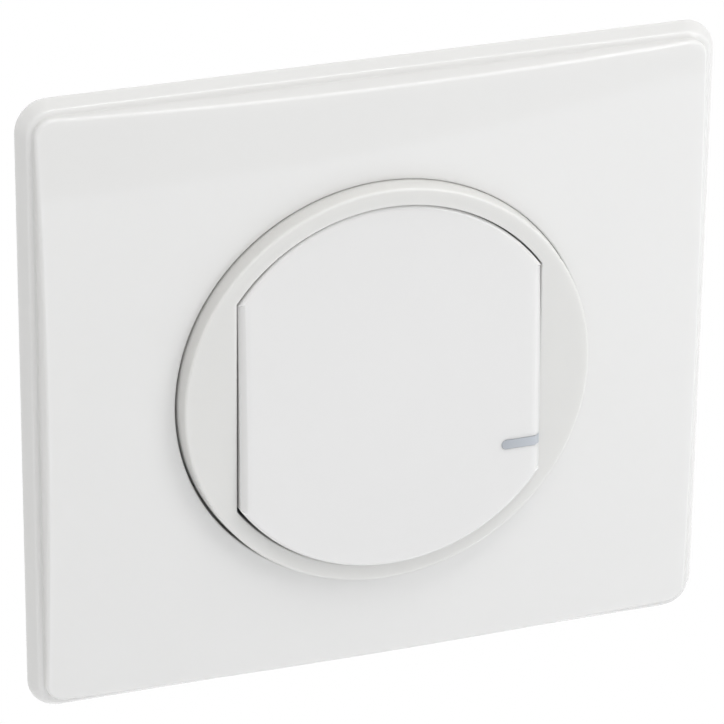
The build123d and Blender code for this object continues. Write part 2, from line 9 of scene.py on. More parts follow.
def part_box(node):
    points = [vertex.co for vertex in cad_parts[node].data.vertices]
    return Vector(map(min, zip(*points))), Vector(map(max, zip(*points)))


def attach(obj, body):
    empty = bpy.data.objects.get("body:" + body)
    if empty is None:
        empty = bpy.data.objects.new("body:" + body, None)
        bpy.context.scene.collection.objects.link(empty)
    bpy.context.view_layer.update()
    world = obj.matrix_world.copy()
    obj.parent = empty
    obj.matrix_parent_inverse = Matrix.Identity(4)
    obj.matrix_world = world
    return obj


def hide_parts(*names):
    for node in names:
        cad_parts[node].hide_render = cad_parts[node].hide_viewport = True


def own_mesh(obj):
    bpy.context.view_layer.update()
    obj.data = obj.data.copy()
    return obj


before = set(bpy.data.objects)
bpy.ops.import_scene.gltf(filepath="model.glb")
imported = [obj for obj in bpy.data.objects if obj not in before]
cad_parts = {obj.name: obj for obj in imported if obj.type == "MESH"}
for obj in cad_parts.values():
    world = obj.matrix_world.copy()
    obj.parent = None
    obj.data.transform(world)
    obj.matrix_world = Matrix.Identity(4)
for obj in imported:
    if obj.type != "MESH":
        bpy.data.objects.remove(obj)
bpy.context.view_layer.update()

bl_info = {
    "name": "Connected light switch",
    "version": (1, 0, 0),
    "blender": (4, 5, 0),
    "location": "View3D > Sidebar > Switch",
    "description": "Dresses the packed light switch: smooth front pieces, finishes, stage and camera",
    "category": "Object",
}

# Every surface is worked out face up: u across, v up the wall, h out of the wall, in metres.
# face_up() then gives the frame's own x, y and z.
MM = 0.001
MICRON = 0.000001
PLATE_LOW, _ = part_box("cover_plate")
RING_LOW, RING_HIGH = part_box("cover_ring")
DOME_LOW, DOME_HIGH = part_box("lower_key_dome")

# Steps along the loops
CORNER_STEPS = 24
SIDE_STEPS = 104
FILLET_STEPS = 10
FLAT_STEPS = 60
ARC_STEPS = 130
HOLLOW_STEPS = 40
SLOT_STEPS = 24
ROD_STEPS = 48
DOME_STEPS = 64

# Rows of loops over each stretch of a surface
RUN_ROWS = 3
SIDE_ROWS = 4
BEND_ROWS = 8
FACE_ROWS = 8
EDGE_ROWS = 14
PANEL_ROWS = 22
RING_EDGE_ROWS = 10
RING_LIP_ROWS = 7
WELL_ROWS = 6
BELOW_ROWS = 2
KEY_FACE_ROWS = 24

# Rounds of the search for the ball under the panel's edge
ROLL_ROUNDS = 8

LEAST_CORNER = 0.2 * MM
SQUARE = np.array([[1, 1], [-1, 1], [-1, -1], [1, -1]]) / 2
SHARP_ANGLE = math.radians(32)

# How far light spreads inside the white plastics, and how clear plastic bends it
MILKY = 0.8 * MM
CLEAR_IOR = 1.49

# Places of the lamps, and the width and height of each sheet of light
LAMPS = {
    "side": ((0.4, -0.42, 0.3), (0.25, 0.35)),
    "top": ((0.2, -0.42, 0.9), (0.8, 0.3)),
    "left": ((-0.8, -0.12, 0.2), (0.6, 0.6)),
}
LOW_LAMP, LOW_SHEET = (0.5, -0.545, -0.235), (1.4, 0.69)
WHITE = (1.0, 1.0, 1.0)

FLOOR_CELLS = 8
SENSOR_WIDTH = 36.0
NEAREST_SEEN = 0.01


# Settings

def mm(name, description, size):
    """A size given in millimetres and kept in metres, which the sidebar shows with its unit."""
    return FloatProperty(name=name, description=description, default=size * MM, min=0.0, precision=5,
                         subtype="DISTANCE", unit="LENGTH")


def degrees(name, description, turn):
    """An angle given in degrees and kept in radians, which the sidebar shows in degrees."""
    return FloatProperty(name=name, description=description, default=math.radians(turn), subtype="ANGLE",
                         unit="ROTATION")


def colour(name, description, default):
    """A linear colour that the sidebar shows as a swatch."""
    return FloatVectorProperty(name=name, description=description, default=default, size=3, min=0.0, max=1.0,
                               subtype="COLOR")


def factor(name, description, default):
    """A plain number from 0 to 1."""
    return FloatProperty(name=name, description=description, default=default, min=0.0, max=1.0,
                         subtype="FACTOR")


def power(name, description, watts):
    """The power of a lamp."""
    return FloatProperty(name=name, description=description, default=watts, min=0.0, unit="POWER")


class PlateSizes(bpy.types.PropertyGroup):
    """Sizes of the cover plate"""
    width: mm("Width", "Across the wall", 90.0)
    height: mm("Height", "Up the wall", 82.0)
    corner: mm("Corner", "Radius of the outline's corners", 4.2)
    wall: mm("Wall", "Thickness of the moulding", 1.7)
    undercut: mm("Undercut", "Lean of the rim towards the wall", 0.7)
    edge_level: mm("Edge level", "Level of the widest edge", 1.6)
    edge_round: mm("Edge round", "Radius of that edge", 0.3)
    shoulder: mm("Shoulder", "From the outline to the shoulder", 1.05)
    shoulder_level: mm("Shoulder level", "Level of the shoulder", 3.2)
    shoulder_round: mm("Shoulder round", "Radius of the shoulder", 0.6)
    shelf: mm("Shelf", "From the outline to the foot of the panel's side", 1.75)
    rim_height: mm("Rim height", "Level of that foot", 3.45)
    cove: mm("Cove", "Radius at that foot", 0.3)
    lean: degrees("Lean", "How far the panel's side leans in", 11)
    crown: mm("Crown", "Level of the dome's top", 7.4)
    dome_radius: mm("Dome radius", "Radius of the panel's dome", 500.0)
    panel_round: mm("Panel round", "Radius of the panel's edge", 0.5)
    opening_radius: mm("Opening radius", "Radius of the round opening", 26.9)
    opening_round: mm("Opening round", "Radius of the opening's lip", 0.2)
    seat_left: mm("Seat left", "How far the plate hangs to the left", 0.08)
    seat_down: mm("Seat down", "How far it hangs down", 0.13)
    collar_wall: mm("Collar wall", "Thickness of the opening's collar", 1.2)
    collar_depth: mm("Collar depth", "From the crown to the collar's foot", 3.0)
    rib: mm("Rib", "Thickness of the back ribs", 1.0)
    rib_offset: mm("Rib offset", "From the middle to each back rib", 12.0)
    rib_bite: mm("Rib bite", "How far a back rib sinks into the walls", 0.34)
    notch_width: mm("Notch width", "Width of the lower rim's notch", 6.0)
    notch_height: mm("Notch height", "Height of that notch", 0.8)
    leg_inner: mm("Leg place", "From the middle to a clip leg", 36.15)
    leg_wall: mm("Leg wall", "Thickness of a clip leg", 1.2)
    leg_width: mm("Leg width", "Width of a clip leg", 14.0)
    leg_bead: mm("Leg bead", "Radius of a clip leg's bead", 0.5)
    leg_bead_level: mm("Leg bead level", "Level of that bead", 1.95)
    leg_foot: mm("Leg foot", "Level of the leg's end", 1.3)


class RingSizes(bpy.types.PropertyGroup):
    """Sizes of the cover ring"""
    radius: mm("Radius", "Outer radius", RING_HIGH.x / MM)
    height: mm("Height", "Level of the face", -RING_LOW.y / MM)
    base: mm("Base", "Level of the seat on the deck", 2.4)
    draft: mm("Draft", "How far the outer wall leans in", 0.25)
    draft_height: mm("Draft height", "Height of the leaning part", 2.4)
    band: mm("Band", "Width of the face over the rocker's arcs", 2.2)
    wall: mm("Wall", "Thickness of the moulding", 1.3)
    edge_round: mm("Edge round", "Radius of the outer edge", 0.35)
    lip_round: mm("Lip round", "Radius of the well's edge", 0.2)
    leg: mm("Leg", "Thickness of a snap leg", 1.2)
    leg_width: mm("Leg width", "Width of a snap leg", 3.0)
    leg_bite: mm("Leg bite", "How far a leg sinks into the ring", 0.325)
    hook: mm("Hook", "Reach of the hook on a leg", 0.5)
    hook_height: mm("Hook height", "Height of that hook", 0.8)
    hook_foot: mm("Hook foot", "Level of the hook's end", 0.25)


class RockerSizes(bpy.types.PropertyGroup):
    """Sizes of the rocker and its lens"""
    width: mm("Width", "Between the two flats", 39.36)
    radius: mm("Radius", "Radius of the two arcs", 23.95)
    gap: mm("Gap", "Between the rocker's flats and the ring", 0.12)
    corner: mm("Corner", "Radius where a flat meets an arc", 0.35)
    crown: mm("Crown", "Level of the face's middle", 9.95)
    crown_radius: mm("Crown radius", "Radius of the face's curve", 650.0)
    arc_edge: mm("Arc edge", "Radius of the face's edge along the arcs", 0.5)
    flat_edge: mm("Flat edge", "Reach of the chamfer along the flats", 0.8)
    flat_drop: mm("Flat drop", "Drop of that chamfer", 0.72)
    edge_flat: factor("Edge flat", "How far that edge is flattened to a chamfer", 0.75)
    wall: mm("Wall", "Thickness of the moulding", 1.5)
    skirt: mm("Skirt", "Level of the lower edge", 4.6)
    pivot_level: mm("Pivot level", "Level of the pins", 5.7)
    pin_radius: mm("Pin radius", "Radius of the pins", 0.8)
    pin_length: mm("Pin length", "How far a pin goes into the ring", 1.1)
    pin_play: mm("Pin play", "Gap round a pin in its bore", 0.05)
    pusher_radius: mm("Pusher radius", "Radius of the two pushers", 1.5)
    pusher_offset: mm("Pusher offset", "From the middle to each pusher", 15.0)
    pusher_end: mm("Pusher end", "Level of the pushers' ends at rest", 3.4)
    rib: mm("Rib", "Thickness of the two ribs", 1.2)
    rib_offset: mm("Rib offset", "From the middle to each rib", 9.0)
    rib_level: mm("Rib level", "Level of the ribs' edges", 6.85)
    lens_length: mm("Lens length", "Length of the lens slot", 5.255)
    lens_height: mm("Lens height", "Height of the lens slot", 1.3)
    lens_drop: mm("Lens drop", "From the middle down to the lens", 9.71)
    lens_depth: mm("Lens depth", "Depth of the lens slot", 3.0)
    lens_fit: mm("Lens fit", "Gap round the lens", 0.04)
    lens_foot: mm("Lens foot", "Reach of the foot round the slot", 0.8)
    lens_foot_gap: mm("Lens foot gap", "From the foot to the rocker's wall", 0.15)
    lens_leg: mm("Lens leg", "Length of the lens's leg", 1.6)
    lens_leg_radius: mm("Lens leg radius", "Radius of the lens's leg", 1.2)
    lens_leg_inset: mm("Lens leg inset", "From the flat to the leg's axis", 3.4)
    seat: mm("Seat", "How far the key sits to the right", 0.08)
    seat_down: mm("Seat down", "How far it hangs down in its bores", 0.04)
    rest_tilt: degrees("Rest tilt", "How far the upper end rests in", 2.2)


class DomeSizes(bpy.types.PropertyGroup):
    """Sizes of the rubber dome under the rocker's lower end"""
    radius: mm("Radius", "Radius of the cone's foot", 3.2)
    top_radius: mm("Top radius", "Radius of the top", 2.2)
    flange: mm("Flange", "Reach of the flange round the foot", 1.0)
    flange_height: mm("Flange height", "Height of that flange", 0.8)
    skin: mm("Skin", "Thickness of the cone", 0.9)
    plug: mm("Plug", "Thickness of the top", 1.8)
    pressed: factor("Pressed", "Share of its height left when pressed", 0.81)


class Finishes(bpy.types.PropertyGroup):
    """Colours of the finishes"""
    plate: colour("Plate", "High-gloss white of the plate", (0.80, 0.797, 0.786))
    ring: colour("Ring", "Satin warm white of the ring", (0.752, 0.748, 0.73))
    rocker: colour("Rocker", "Semi-gloss white of the rocker", (0.79, 0.786, 0.778))
    lens: colour("Lens", "Blue-grey light guide", (0.415, 0.44, 0.475))
    zinc: colour("Zinc", "Zinc-plated steel", (0.66, 0.67, 0.68))
    deck: colour("Deck", "Matte white deck", (0.70, 0.70, 0.69))
    housing: colour("Housing", "Light grey housing", (0.50, 0.51, 0.52))
    board: colour("Board", "Solder mask", (0.02, 0.16, 0.07))
    black: colour("Black moulding", "Moulded black parts", (0.025, 0.025, 0.027))
    rubber: colour("Rubber", "Silicone key domes", (0.40, 0.41, 0.42))
    lamp: colour("Lamp", "White lamp body", (0.80, 0.79, 0.72))
    clear: colour("Clear rod", "Light pipe", (0.86, 0.90, 0.92))
    button: colour("Button", "Reset button", (0.28, 0.29, 0.30))
    tin: colour("Tin", "Tinned radio can", (0.72, 0.72, 0.70))
    yellow: colour("Yellow", "Boxed capacitor", (0.70, 0.46, 0.05))
    aluminium: colour("Aluminium", "Drawn can", (0.76, 0.77, 0.78))
    ferrite: colour("Ferrite", "Choke drum", (0.06, 0.06, 0.062))
    blue: colour("Blue", "Varistor coat", (0.05, 0.14, 0.44))
    green: colour("Green", "Resistor coat", (0.24, 0.36, 0.28))
    brass: colour("Brass", "Terminal blocks", (0.76, 0.56, 0.24))


class StageSettings(bpy.types.PropertyGroup):
    """Camera, lamps and floor"""
    lens: FloatProperty(name="Lens", description="Focal length", default=230.7, min=1.0, unit="CAMERA")
    distance: mm("Distance", "From the camera to the origin, along the view", 579.3)
    azimuth: degrees("Azimuth", "Turn of the view to the right", 19.9)
    elevation: degrees("Elevation", "Tilt of the view downwards", 25.2)
    roll: degrees("Roll", "Turn of the picture", 0.6)
    shift_right: mm("Aim right", "How far the object lies right of the axis", 0.42)
    shift_up: mm("Aim up", "How far the object lies above the axis", 0.44)
    floor_drop: mm("Floor drop", "From the plate's lower edge to the floor", 200.0)
    floor_size: mm("Floor size", "Side of the square floor", 8000.0)
    floor: colour("Floor", "Pale floor", (0.86, 0.86, 0.86))
    cool: colour("Cool white", "Colour of the low lamp", (0.88, 0.92, 1.0))
    fill: factor("Fill", "Strength of the light from all round", 0.75)
    side_power: power("Side", "Power of the lamp on the right", 0.85)
    top_power: power("Top", "Power of the lamp above", 3.0)
    left_power: power("Left", "Power of the lamp on the left", 0.6)
    low_power: power("Low", "Power of the lamp on the floor", 1.85)


# Loops and surfaces

def face_up(u, v, h):
    """Points in the frame: x = u, y = -h, z = v."""
    return np.stack(np.broadcast_arrays(u, np.negative(h), v), axis=-1)


def lift(loops, levels):
    """Points of loops of (u, v), at one level or at a level each."""
    return face_up(loops[..., 0], loops[..., 1], levels)


def rounded_rectangle(width, height, corner):
    """Closed loop of four quarter arcs of one radius, joined by straight sides, anticlockwise."""
    turn = np.linspace(0, np.pi / 2, CORNER_STEPS)
    angle = np.arange(4)[:, None] * np.pi / 2 + turn
    side_u = np.array([1, -1, -1, 1])[:, None]
    side_v = np.array([1, 1, -1, -1])[:, None]
    u = side_u * (width / 2 - corner) + corner * np.cos(angle)
    v = side_v * (height / 2 - corner) + corner * np.sin(angle)
    arcs = np.stack([u, v], axis=-1)
    share = np.linspace(0, 1, SIDE_STEPS + 2)[1:-1, None]
    sides = arcs[:, -1:] * (1 - share) + np.roll(arcs, -1, axis=0)[:, :1] * share
    return np.concatenate([arcs, sides], axis=1).reshape(-1, 2)


def barrel(width, radius, corner):
    """Closed loop of two upright flats and two arcs about the centre, with a small round where they meet.

    The round's centre lies one corner radius inside both, and its arc runs from 0 to that centre's angle.
    """
    across = width / 2 - corner
    up = np.sqrt((radius - corner) ** 2 - across ** 2)
    slant = np.arctan2(up, across)
    small = np.linspace(0, slant, FILLET_STEPS)
    long = np.linspace(slant, np.pi - slant, ARC_STEPS + 2)[1:-1]
    flat = np.linspace(1, -1, FLAT_STEPS + 2)[1:-1]
    right = np.stack([across + corner * np.cos(small), up + corner * np.sin(small)], axis=-1)
    top = radius * np.stack([np.cos(long), np.sin(long)], axis=-1)
    left = (right * [-1, 1])[::-1]
    side = np.stack([np.full_like(flat, -width / 2), up * flat], axis=-1)
    half = np.concatenate([right, top, left, side])
    return np.concatenate([half, -half])


def circle_like(loop, radius):
    """Circle with a point on the ray from the centre through each point of a loop."""
    return loop * (radius / np.hypot(loop[:, 0], loop[:, 1]))[:, None]


def arc_rows(start, end, rows):
    """Cosines and sines of evenly spaced angles, as columns that a loop can be spread over."""
    angle = np.linspace(start, end, rows)[:, None]
    return np.cos(angle), np.sin(angle)


def bend(before, corner, after, radius):
    """Arc in a profile, tangent to the two straight runs that meet in a corner.

    About its centre c, from the first run's direction d and with n towards the centre, it is
    c - r n cos t + r d sin t.
    """
    first = (corner - before) / np.linalg.norm(corner - before)
    last = (after - corner) / np.linalg.norm(after - corner)
    turn = math.atan2(first[0] * last[1] - first[1] * last[0], first @ last)
    inward = np.array([-first[1], first[0]]) * math.copysign(radius, turn)
    centre = corner - first * radius * math.tan(abs(turn) / 2) + inward
    cosine, sine = arc_rows(0, abs(turn), BEND_ROWS)
    return centre - inward * cosine + radius * first * sine


def between(first, last, rows):
    """Rows that blend one loop into another, both ends left out."""
    share = np.linspace(0, 1, rows + 2)[1:-1, None, None]
    return first * (1 - share) + last * share


def quads(rows, columns, closed):
    """Corner indices of a grid that is closed along its columns, and along its rows if asked."""
    row, column = np.ogrid[:rows if closed else rows - 1, :columns]
    after = (column + 1) % columns
    here, below = row * columns, (row + 1) % rows * columns
    corners = np.broadcast_arrays(here + column, here + after, below + after, below + column)
    return np.stack(corners, axis=-1).reshape(-1, 4).tolist()


def mesh_object(name, points, faces):
    """Mesh object at the origin, from points and lists of corner indices."""
    mesh = bpy.data.meshes.new(name)
    mesh.from_pydata(points.reshape(-1, 3).tolist(), [], faces)
    mesh.validate()
    piece = bpy.data.objects.new(name, mesh)
    bpy.context.scene.collection.objects.link(piece)
    return piece


def ring_surface(name, rows):
    """Closed surface from loops that come back to the first one, like a bent tube."""
    return mesh_object(name, rows, quads(*rows.shape[:2], True))


def capped_surface(name, rows):
    """Closed surface from loops, with a pole at the middle of the first and of the last."""
    count, columns = rows.shape[:2]
    points = np.concatenate([rows.reshape(-1, 3), [rows[0].mean(axis=0), rows[-1].mean(axis=0)]])
    column = np.arange(columns)
    after = (column + 1) % columns
    last = (count - 1) * columns
    first_fan = np.stack([after, column, np.full(columns, count * columns)], axis=-1)
    last_fan = np.stack([last + column, last + after, np.full(columns, count * columns + 1)], axis=-1)
    faces = quads(count, columns, False) + first_fan.tolist() + last_fan.tolist()
    return mesh_object(name, points, faces)


def drum(name, foot, top):
    """Closed bar between two like loops of points, with flat ends."""
    columns = len(foot)
    ends = [list(range(columns))[::-1], list(range(columns, 2 * columns))]
    return mesh_object(name, np.stack([foot, top]), quads(2, columns, False) + ends)


def prism(name, outline, foot, top):
    """Bar along h over a closed outline of (u, v)."""
    return drum(name, lift(outline, foot), lift(outline, top))


def bar(name, width, height, foot, top, u=0.0, v=0.0):
    """Prism over a rectangle about a point."""
    return prism(name, SQUARE * [width, height] + [u, v], foot, top)


def rod(name, radius, start, end):
    """Round bar between two points of the frame: a circle in the plane across it, at both ends."""
    along = (end - start) / np.linalg.norm(end - start)
    across = np.cross(along, [0.0, 0.0, 1.0] if abs(along[2]) < 0.9 else [1.0, 0.0, 0.0])
    across /= np.linalg.norm(across)
    other = np.cross(along, across)
    angle = np.linspace(0, 2 * np.pi, ROD_STEPS, endpoint=False)[:, None]
    circle = radius * (np.cos(angle) * across + np.sin(angle) * other)
    return drum(name, start + circle, end + circle)


def combine(piece, tool, operation):
    """Unites a piece with a tool, cuts the tool out of it or keeps what they share, and removes the tool."""
    step = piece.modifiers.new(operation.lower(), "BOOLEAN")
    step.operation = operation
    step.solver = "MANIFOLD"
    step.object = tool
    made = bpy.data.meshes.new_from_object(piece.evaluated_get(bpy.context.evaluated_depsgraph_get()))
    if not made.polygons:
        raise RuntimeError(f"{piece.name} came out empty")
    piece.modifiers.clear()
    old = piece.data
    piece.data = made
    made.name = piece.name
    bpy.data.meshes.remove(old)
    tool_mesh = tool.data
    bpy.data.objects.remove(tool)
    bpy.data.meshes.remove(tool_mesh)


def face_places(piece):
    """The vertices of a piece as u, v and h."""
    places = np.empty(3 * len(piece.data.vertices))
    piece.data.vertices.foreach_get("co", places)
    x, y, z = places.reshape(-1, 3).T
    return x, z, -y


def place_again(piece, u, v, h):
    """Puts the vertices of a piece at new places."""
    piece.data.vertices.foreach_set("co", face_up(u, v, h).ravel())
    piece.data.update()
    return piece


def settle(piece, material, body, slot, *nodes):
    """Smooths a finished piece, gives it its material and hangs it on its body."""
    piece.data.shade_smooth()
    piece.data.set_sharp_from_angle(angle=SHARP_ANGLE)
    piece.data.materials.clear()
    piece.data.materials.append(material)
    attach(piece, body)
    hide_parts(*nodes)


# Cover plate

def plate_loop(s, inset):
    """Outline of the plate, inset all round."""
    return rounded_rectangle(s.width - 2 * inset, s.height - 2 * inset, max(s.corner - inset, LEAST_CORNER))


def rim_loops(s, insets, levels):
    """Outlines of the plate at pairs of inset and level."""
    loops = np.stack([plate_loop(s, inset) for inset in insets])
    return lift(loops, np.reshape(levels, (-1, 1)))


def on_dome(s, loops, crown):
    """Loops on a dome: h = crown - R + sqrt(R^2 - u^2 - v^2)."""
    fall = s.dome_radius - np.sqrt(s.dome_radius ** 2 - (loops ** 2).sum(axis=-1))
    return lift(loops, crown - fall)


def plate_rim(s):
    """Loops of the rim: in at the wall, out to the edge, in to the shoulder, over the shelf and up the side.

    The profile is straight runs with an arc at each corner, in insets from the outline and levels.
    """
    lean = math.tan(s.lean)
    corners = np.array([[s.undercut, 0.0], [0.0, s.edge_level], [s.shoulder, s.shoulder_level],
                        [s.shelf, s.rim_height], [s.shelf + s.crown * lean, s.rim_height + s.crown]])
    before = corners[:1]
    profile = []
    for at, radius in enumerate((s.edge_round, s.shoulder_round, s.cove)):
        arc = bend(*corners[at:at + 3], radius)
        profile += [between(before, arc[:1], RUN_ROWS)[:, 0], arc]
        before = arc[-1:]
    return rim_loops(s, *np.concatenate(profile).T)


def panel_edge(s):
    """Loop of a ball's centre that rolls under the dome along the leaning side, and the round that it leaves.

    The centre lies on a sphere of radius R - r, and its inset follows the side's lean at its level. Both are
    worked out in turn until they settle.
    """
    outline = plate_loop(s, 0.0)
    outward = (outline - plate_loop(s, MM)) / MM
    ball = s.dome_radius - s.panel_round
    level = np.full(len(outline), s.rim_height)
    for _ in range(ROLL_ROUNDS):
        inset = s.shelf + (level - s.rim_height) * math.tan(s.lean) + s.panel_round / math.cos(s.lean)
        centre = outline - inset[:, None] * outward
        level = s.crown - s.dome_radius + np.sqrt(ball ** 2 - (centre ** 2).sum(axis=-1))
    cosine, sine = arc_rows(s.lean, np.pi / 2, EDGE_ROWS)
    loops = centre + s.panel_round * cosine[..., None] * outward
    return centre, lift(loops, level + s.panel_round * sine)


def plate_rows(s):
    """Loops of the plate, once round its section: from the wall over the rim, panel and lip, and back inside.

    The panel's loops blend its edge into the opening's circle along rays from the centre, on the dome.
    """
    rim = plate_rim(s)
    centre, edge = panel_edge(s)
    side = between(rim[-1], edge[0], SIDE_ROWS)

    # Panel, lip and collar
    lip_centre = s.opening_radius + s.opening_round
    panel = on_dome(s, between(centre, circle_like(centre, lip_centre), PANEL_ROWS), s.crown)
    lip_level = s.crown - s.dome_radius + math.sqrt((s.dome_radius - s.opening_round) ** 2 - lip_centre ** 2)
    cosine, sine = arc_rows(np.pi / 2, np.pi, EDGE_ROWS)
    lip_radius = (lip_centre + s.opening_round * cosine)[..., None]
    lip = lift(lip_radius * circle_like(centre, 1.0), lip_level + s.opening_round * sine)
    collar_foot = s.crown - s.collar_depth
    inner = circle_like(centre, s.opening_radius)
    outer = circle_like(centre, s.opening_radius + s.collar_wall)
    collar_in = lift(inner, np.linspace(lip_level, collar_foot, SIDE_ROWS)[1:, None])
    under = s.crown - s.wall
    collar_back = [lift(outer, collar_foot), on_dome(s, outer, under)]

    # Inside of the tray, back to the wall
    pocket = plate_loop(s, s.shelf + s.wall)
    under_panel = on_dome(s, between(outer, pocket, FACE_ROWS), under)
    ledge = s.rim_height - s.wall
    pocket_top = [on_dome(s, pocket, under), lift(pocket, ledge)]
    inside = rim_loops(s, [s.wall, s.wall, s.undercut], [ledge, 0.0, 0.0])
    return np.concatenate([rim, side, edge, panel, lip, collar_in, collar_back, under_panel, pocket_top,
                           inside])


def cover_plate(s):
    """The plate's surface, joined with its clip legs and back ribs and cut by the notch in its lower rim."""
    plate = ring_surface("cover_plate_moulding", plate_rows(s))
    under = s.crown - s.wall
    collar_foot = s.crown - s.collar_depth
    rib_top = under - s.opening_radius ** 2 / (2 * s.dome_radius) + s.rib_bite
    start = math.sqrt((s.opening_radius + s.collar_wall / 2) ** 2 - s.rib_offset ** 2)
    span = s.height / 2 - s.shelf - s.wall + s.rib_bite - start
    for side in (-1, 1):
        for end in (-1, 1):
            u, v = side * s.rib_offset, end * (start + span / 2)
            combine(plate, bar("rib", s.rib, span, collar_foot, rib_top, u, v), "UNION")
        leg_middle = side * (s.leg_inner + s.leg_wall / 2)
        combine(plate, bar("leg", s.leg_wall, s.leg_width, s.leg_foot, under, leg_middle), "UNION")
        ends = face_up(side * s.leg_inner, np.array([-0.5, 0.5]) * s.leg_width, s.leg_bead_level)
        combine(plate, rod("bead", s.leg_bead, *ends), "UNION")
    notch = bar("notch", s.notch_width, 4 * s.wall, -s.wall, s.notch_height, 0.0, -s.height / 2)
    combine(plate, notch, "DIFFERENCE")
    u, v, h = face_places(plate)
    return place_again(plate, u - s.seat_left, v - s.seat_down, h)


# Cover ring

def cover_ring_rows(s, k):
    """Loops of the ring: up its drafted wall, over the face, down the barrel-shaped well and back below.

    The outer loops are circles of (radius, level), and the face blends the last one into the barrel.
    """
    face_radius = s.radius - s.draft

    def well(grow):
        return barrel(k.width + 2 * (k.gap + grow), face_radius - s.band + grow, k.corner + grow)

    edge = well(0.0)
    unit = circle_like(edge, 1.0)

    def circles(radii, levels):
        return lift(np.reshape(radii, (-1, 1, 1)) * unit, np.reshape(levels, (-1, 1)))

    # The outer edge's round touches the face and the leaning wall
    lean = math.atan2(s.draft, s.draft_height)
    draft_start = s.height - s.draft_height
    normal = np.array([math.cos(lean), math.sin(lean)])
    centre_level = s.height - s.edge_round
    to_wall = np.dot([face_radius, s.height], normal) - s.edge_round
    centre_radius = (to_wall - centre_level * normal[1]) / normal[0]
    cone_end = np.array([[centre_radius, centre_level]]) + s.edge_round * normal
    wall = circles(s.radius, np.linspace(s.base, draft_start, SIDE_ROWS))
    slope = circles(*between(np.array([[s.radius, draft_start]]), cone_end, SIDE_ROWS)[:, 0].T)
    cosine, sine = arc_rows(lean, np.pi / 2, RING_EDGE_ROWS)
    outer_edge = circles(centre_radius + s.edge_round * cosine, centre_level + s.edge_round * sine)

    face = lift(between(centre_radius * unit, well(s.lip_round), FACE_ROWS), s.height)
    cosine, sine = arc_rows(0, np.pi / 2, RING_LIP_ROWS)
    lip_loops = np.stack([well(grow) for grow in s.lip_round * (1 - sine[:, 0])])
    lip = lift(lip_loops, s.height - s.lip_round * (1 - cosine))
    down = lift(edge, np.linspace(s.height - s.lip_round, s.base, WELL_ROWS)[1:, None])
    below = lift(between(edge, s.radius * unit, BELOW_ROWS), s.base)
    return np.concatenate([wall, slope, outer_edge, face, lip, down, below])


def cover_ring(s, k):
    """The ring's surface, with its two side hollows, bearing bores and four hooked legs."""
    ring = ring_surface("cover_ring_moulding", cover_ring_rows(s, k))
    face_radius = s.radius - s.draft
    half = k.width / 2 + k.gap + s.wall
    hollow_radius = face_radius - s.wall
    reach = math.acos(half / hollow_radius)
    angle = np.linspace(-reach, reach, HOLLOW_STEPS)
    for side in (-1, 1):
        outline = hollow_radius * np.stack([np.cos(angle), np.sin(angle)], axis=-1) * side
        combine(ring, prism("hollow", outline, s.base - s.wall, s.height - s.wall), "DIFFERENCE")
        bore = face_up(np.array([half - 2 * s.wall, half]) * side, 0.0, k.pivot_level)
        combine(ring, rod("bore", k.pin_radius + k.pin_play, *bore), "DIFFERENCE")
    leg_radius = (face_radius - s.band + s.radius) / 2
    for quarter in range(4):
        diagonal = math.radians(45 + 90 * quarter)
        cosine, sine = math.cos(diagonal), math.sin(diagonal)
        turn = np.array([[cosine, sine], [-sine, cosine]])
        leg = (SQUARE * [s.leg, s.leg_width] + [leg_radius, 0]) @ turn
        hook = (SQUARE * [s.leg + s.hook, s.leg_width] + [leg_radius + s.hook / 2, 0]) @ turn
        combine(ring, prism("leg", leg, s.hook_foot, s.base + s.leg_bite), "UNION")
        combine(ring, prism("hook", hook, s.hook_foot, s.hook_foot + s.hook_height), "UNION")
    return ring


# Rocker, lens and dome

def key_face(s, v, inset=0.0):
    """Level of the cylindrical face, or of one inset in it: crown - R + sqrt((R - inset)^2 - v^2)."""
    return s.crown - s.crown_radius + np.sqrt((s.crown_radius - inset) ** 2 - v ** 2)


def rocker_solid(name, s):
    """The rocker's outer form, filled: loops from the middle of the face over its edge and down the skirt.

    The edge is a quarter round, (1 + cos t, sin t) for t from a quarter to half a turn, scaled by its reach
    and drop. On the flats each point moves towards its place on the chord, which makes a soft chamfer.
    """
    wall = barrel(s.width, s.radius, s.corner)
    rim = barrel(s.width - 2 * s.flat_edge, s.radius - s.arc_edge, s.corner)
    leave = np.linspace(1, 0, FILLET_STEPS)
    on_flat = np.tile(np.concatenate([leave, np.zeros(ARC_STEPS), leave[::-1], np.ones(FLAT_STEPS)]), 2)
    drop = s.arc_edge + (s.flat_drop - s.arc_edge) * on_flat
    cosine, sine = arc_rows(np.pi / 2, np.pi, EDGE_ROWS)
    chord = np.linspace(1, 0, EDGE_ROWS)[:, None]
    inward, up = (quarter + (chord - quarter) * s.edge_flat * on_flat for quarter in (1 + cosine, sine))
    edge = lift(wall + inward[..., None] * (rim - wall), key_face(s, rim[:, 1]) - drop * (1 - up))
    face_loops = between(np.zeros_like(rim), rim, KEY_FACE_ROWS)
    face = lift(face_loops, key_face(s, face_loops[..., 1]))
    foot = lift(wall, s.skirt)
    skirt = between(edge[-1], foot, RUN_ROWS)
    return capped_surface(name, np.concatenate([face, edge, skirt, [foot]]))


def lens_outline(s, grow):
    """Slot seen face on: a half round at its inner end, open past the rocker's flat."""
    half = s.lens_height / 2 + grow
    start = s.width / 2 - s.lens_length + s.lens_height / 2
    angle = np.linspace(np.pi / 2, 3 * np.pi / 2, SLOT_STEPS)
    arc = np.stack([start + half * np.cos(angle), half * np.sin(angle) - s.lens_drop], axis=-1)
    reach = s.width / 2 + s.lens_height
    tail = np.array([[reach, -half - s.lens_drop], [reach, half - s.lens_drop]])
    return np.concatenate([arc, tail])


